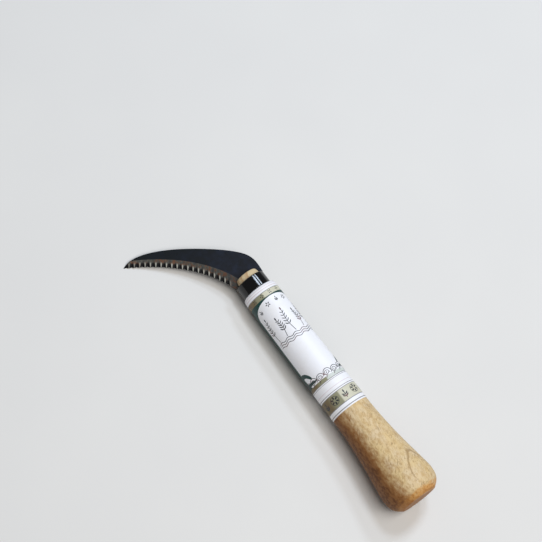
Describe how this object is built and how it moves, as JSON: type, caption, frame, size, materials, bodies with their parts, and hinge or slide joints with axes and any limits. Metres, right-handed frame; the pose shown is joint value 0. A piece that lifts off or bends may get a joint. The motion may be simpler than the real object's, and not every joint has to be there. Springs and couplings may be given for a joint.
{
  "type": "hand sickle",
  "caption": "Small weeding sickle: black crescent blade with a ground, serrated inner edge, set in a flared wooden handle with a steel ferrule and a printed wrap.",
  "frame": {"origin": "centre of the flat butt face, on the handle's turned axis", "axes": "+X along the handle from the butt to the blade, +Y in the blade's plane towards the tip and the cutting edge, +Z out of the ground, fluted face of the blade"},
  "size_m": [0.2347, 0.0815, 0.0378],
  "materials": {
    "blade_steel": "satin black scale, ground grey along the cutting edge",
    "handle_wood": "turned, sanded, thin clear coat",
    "ferrule_black": "gloss black",
    "pin_steel": "plain drawn wire",
    "label_print": "printed and laminated, semi-gloss"
  },
  "bodies": {
    "root": {"blade": "blade_steel", "handle": "handle_wood", "ferrule": "ferrule_black", "tang_pin": "pin_steel", "label": "label_print"}
  },
  "joints": []
}
